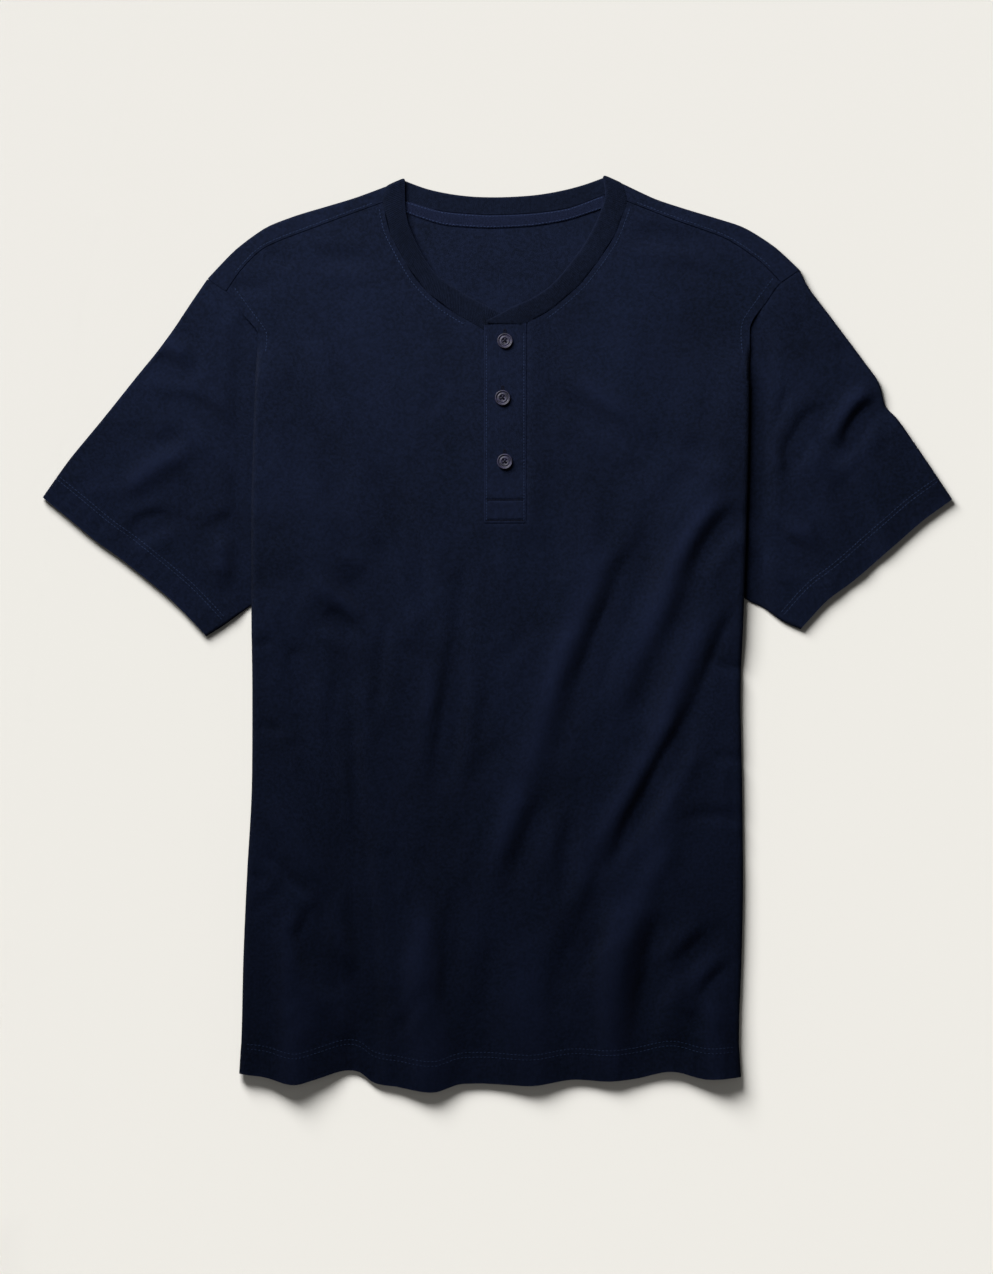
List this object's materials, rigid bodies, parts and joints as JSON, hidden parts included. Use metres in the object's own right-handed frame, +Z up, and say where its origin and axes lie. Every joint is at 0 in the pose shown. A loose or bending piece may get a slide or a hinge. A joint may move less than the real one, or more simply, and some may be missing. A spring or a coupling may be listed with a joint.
{
  "type": "henley shirt",
  "caption": "Short-sleeve henley shirt in dark knitted jersey, laid flat front up with its sides tucked under, ribbed crew neckband and buttoned placket.",
  "frame": {"origin": "centre of the laid-out shirt's outline, on the surface that it lies on", "axes": "+X to the wearer's left, +Y to the collar, +Z up from the surface through the back and then the front"},
  "size_m": [0.7376, 0.7434, 0.0162],
  "materials": {
    "jersey": "matte dark navy cotton jersey",
    "rib": "matte dark navy rib knit",
    "tape": "matte dark navy twill tape",
    "button": "semi-gloss grey navy, marbled"
  },
  "bodies": {
    "root": {"back_panel": "jersey", "front_panel": "jersey", "sleeve_right": "jersey", "sleeve_left": "jersey", "neckband": "rib", "neck_tape": "tape", "placket_under": "jersey", "placket_over": "jersey", "button_top": "button", "button_middle": "button", "button_bottom": "button"}
  },
  "joints": []
}
